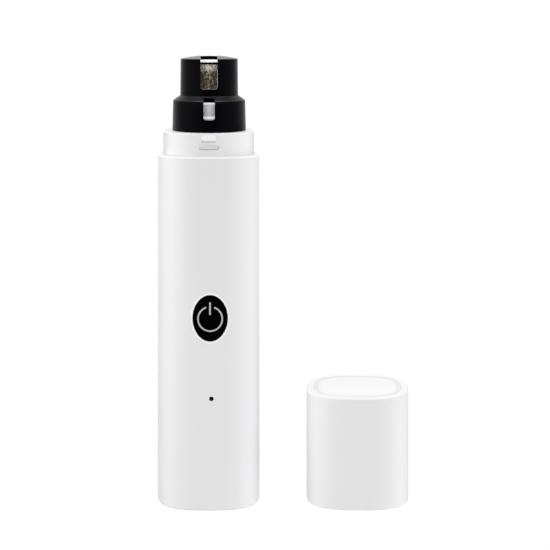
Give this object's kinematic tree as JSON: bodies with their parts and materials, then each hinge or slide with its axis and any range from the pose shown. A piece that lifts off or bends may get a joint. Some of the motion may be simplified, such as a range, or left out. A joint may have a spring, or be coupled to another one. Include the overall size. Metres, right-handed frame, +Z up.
{
  "type": "electric nail grinder",
  "caption": "Slim white electric nail grinder for pets, standing upright with its cap beside it: grinding drum in a black slotted guard, push button, cell and motor inside.",
  "frame": {"origin": "centre of the grinder's flat base, on the surface it stands on", "axes": "+Z up along the grinder and its motor axis, -Y towards the button and the nail slot, +X towards the cap standing beside it"},
  "size_m": [0.0814, 0.0282, 0.1423],
  "materials": {
    "white_shell": "satin",
    "white_neck": "satin",
    "black_guard": "satin",
    "black_button": "gloss",
    "icon_grey": "satin",
    "dark_lens": "gloss",
    "frame_grey": "matte",
    "zinc_steel": "satin",
    "bright_steel": "polished",
    "copper": "satin",
    "sintered_bronze": "matte",
    "ferrite": "matte",
    "carbon": "matte",
    "black_rubber": "matte",
    "dark_nylon": "satin",
    "diamond_grit": "matte",
    "green_board": "satin",
    "black_epoxy": "matte",
    "cell_wrap": "satin",
    "nickel_strip": "satin",
    "grey_foam": "matte",
    "grey_felt": "matte",
    "red_insulation": "satin",
    "black_insulation": "satin",
    "led_epoxy": "satin"
  },
  "bodies": {
    "housing": {"outer_sleeve": "white_shell", "bottom_cover": "white_shell", "base_screw_left": "zinc_steel", "base_screw_right": "zinc_steel", "nose_collar": "white_neck", "front_chassis": "frame_grey", "rear_chassis": "frame_grey", "chassis_screw_1": "zinc_steel", "chassis_screw_2": "zinc_steel", "chassis_screw_3": "zinc_steel", "chassis_screw_4": "zinc_steel", "motor_can": "zinc_steel", "motor_end_cap": "dark_nylon", "front_bush": "sintered_bronze", "rear_bush": "sintered_bronze", "magnet_left": "ferrite", "magnet_right": "ferrite", "brush_left": "carbon", "brush_right": "carbon", "motor_terminal_left": "copper", "motor_terminal_right": "copper", "motor_damper": "black_rubber", "motor_screw_left": "zinc_steel", "motor_screw_right": "zinc_steel", "battery_cell": "cell_wrap", "battery_positive_tab": "nickel_strip", "battery_negative_tab": "nickel_strip", "battery_foam": "grey_foam", "circuit_board": "green_board", "tact_switch": "black_epoxy", "controller_chip": "black_epoxy", "power_transistor": "black_epoxy", "filter_capacitor": "cell_wrap", "indicator_led": "led_epoxy", "indicator_light_pipe": "dark_lens", "charge_board": "green_board", "charge_socket_shell": "zinc_steel", "charge_socket_tongue": "dark_nylon", "battery_wire_red": "red_insulation", "battery_wire_black": "black_insulation", "motor_wire_red": "red_insulation", "motor_wire_black": "black_insulation", "charge_wire_red": "red_insulation", "charge_wire_black": "black_insulation", "button_seal": "black_rubber", "dust_shield": "grey_felt"},
    "spindle": {"motor_shaft": "bright_steel", "armature_core": "ferrite", "armature_winding": "copper", "commutator": "copper", "drum_arbor": "zinc_steel", "drum_core": "dark_nylon", "abrasive_sleeve": "diamond_grit", "drum_cap": "bright_steel"},
    "power_button": {"button_cap": "black_button", "button_light_guide": "icon_grey"},
    "switch_actuator": {"switch_plunger": "carbon"},
    "head_guard": {"guard": "black_guard"},
    "cap": {"cap_shell": "white_shell", "cap_top_panel": "white_shell"}
  },
  "joints": [
    {"name": "spindle_spin", "type": "hinge", "parent": "housing", "child": "spindle", "pos_m": [0, 0, 0.105], "axis": [0, 0, 1], "continuous": true},
    {"name": "button_press", "type": "slide", "parent": "housing", "child": "power_button", "axis": [0, 1, 0], "range_m": [0, 0.0005], "stiffness_N_per_m": 150, "springref_m": -0.001},
    {"name": "plunger_press", "type": "slide", "parent": "housing", "child": "switch_actuator", "axis": [0, 1, 0], "range_m": [0, 0.0005]},
    {"name": "guard_pull", "type": "slide", "parent": "housing", "child": "head_guard", "axis": [0, 0, 1], "range_m": [0, 0.026]},
    {"name": "cap_lift", "type": "slide", "parent": "housing", "child": "cap", "axis": [0, 0, 1], "range_m": [0, 0.12]}
  ],
  "couplings": [
    {"joint": "plunger_press", "follows": "button_press", "ratio": 1}
  ]
}
